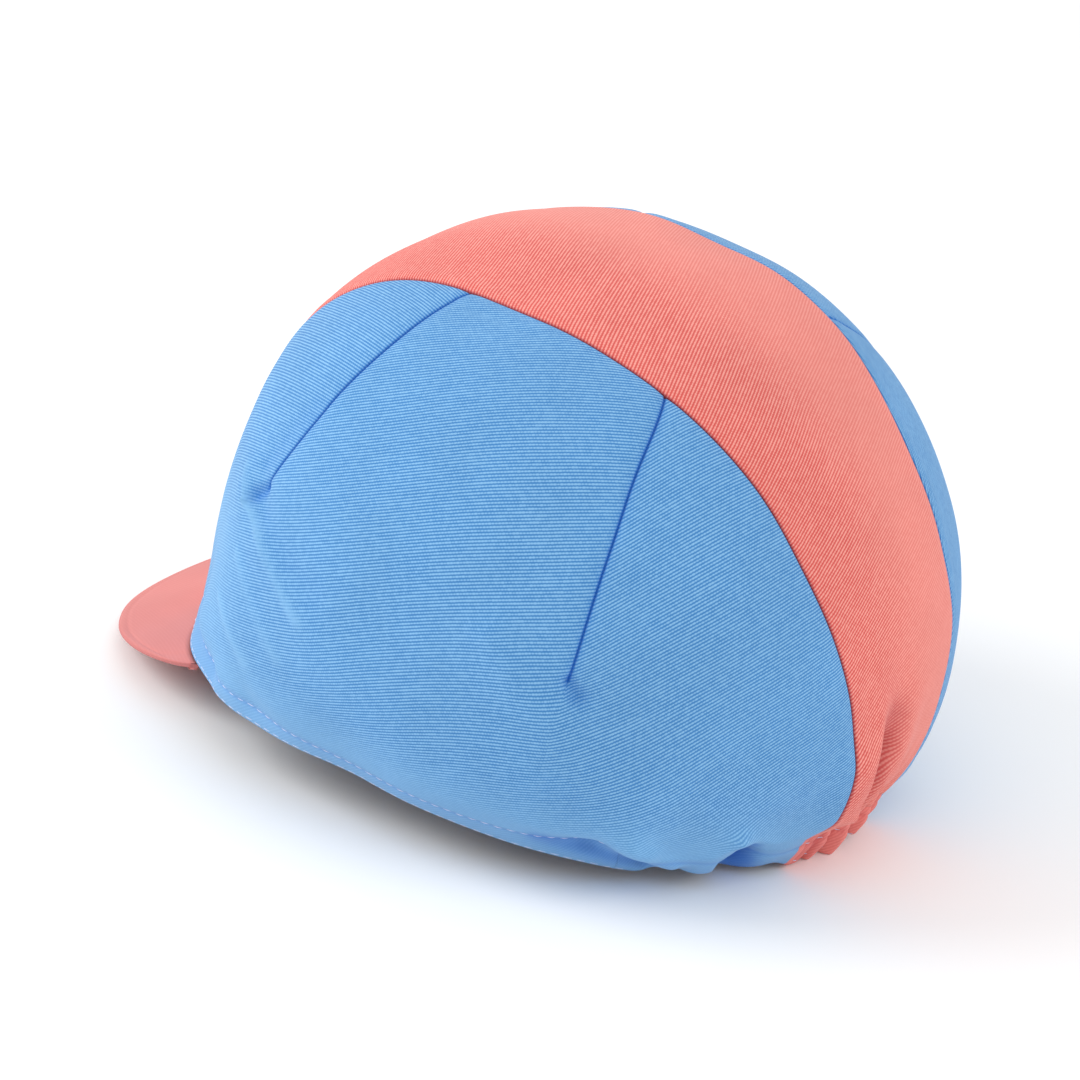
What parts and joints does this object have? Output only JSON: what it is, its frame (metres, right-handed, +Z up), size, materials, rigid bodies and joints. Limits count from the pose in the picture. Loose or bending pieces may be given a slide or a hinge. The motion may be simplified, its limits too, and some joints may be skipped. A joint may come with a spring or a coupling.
{
  "type": "cycling cap",
  "caption": "Soft cloth cycling cap with two-colour crown, centre strip, short peak and gathered elastic rear hem, resting by itself.",
  "frame": {"origin": "centre of the bounding box in plan, on the surface that the cap rests on", "axes": "+X to the wearer's left, +Y to the rear of the cap and the peak at -Y, +Z up from the surface"},
  "size_m": [0.1744, 0.2206, 0.1314],
  "materials": {
    "coral_twill": "matt cotton twill",
    "blue_twill": "matt cotton twill",
    "blue_hem": "folded and stitched matt cotton twill",
    "coral_hem": "gathered matt cotton twill",
    "coral_peak": "stiffened matt cotton",
    "thread": "pale sewing thread"
  },
  "bodies": {
    "root": {"centre_strip": "coral_twill", "panel_left": "blue_twill", "panel_right": "blue_twill", "hem_left": "blue_hem", "hem_right": "blue_hem", "casing_left": "blue_hem", "casing_right": "blue_hem", "casing_centre": "coral_hem", "peak": "coral_peak"}
  },
  "joints": []
}
